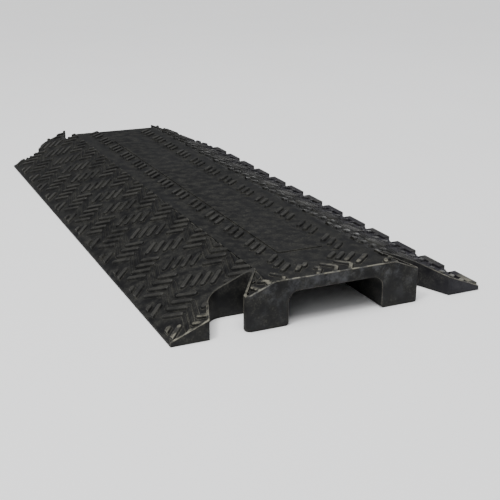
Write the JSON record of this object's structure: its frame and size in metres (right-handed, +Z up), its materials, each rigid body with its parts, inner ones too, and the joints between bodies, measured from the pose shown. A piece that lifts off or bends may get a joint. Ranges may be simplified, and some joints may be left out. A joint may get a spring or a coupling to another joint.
{
  "type": "floor cord cover",
  "caption": "Moulded rubber cord cover with two treaded ramps, a flat deck over a cable tunnel, end sockets and matching tongues.",
  "frame": {"origin": "on the floor, under the middle of the whole piece, tongues included", "axes": "+X across the cover to the right as seen from the socketed near end, +Y along it from the near end to the far end, +Z up"},
  "size_m": [0.42, 0.9664, 0.058],
  "materials": {
    "black_rubber": "matt moulded black rubber, dusty, with edges rubbed grey"
  },
  "bodies": {
    "root": {"cord_cover": "black_rubber"}
  },
  "joints": []
}
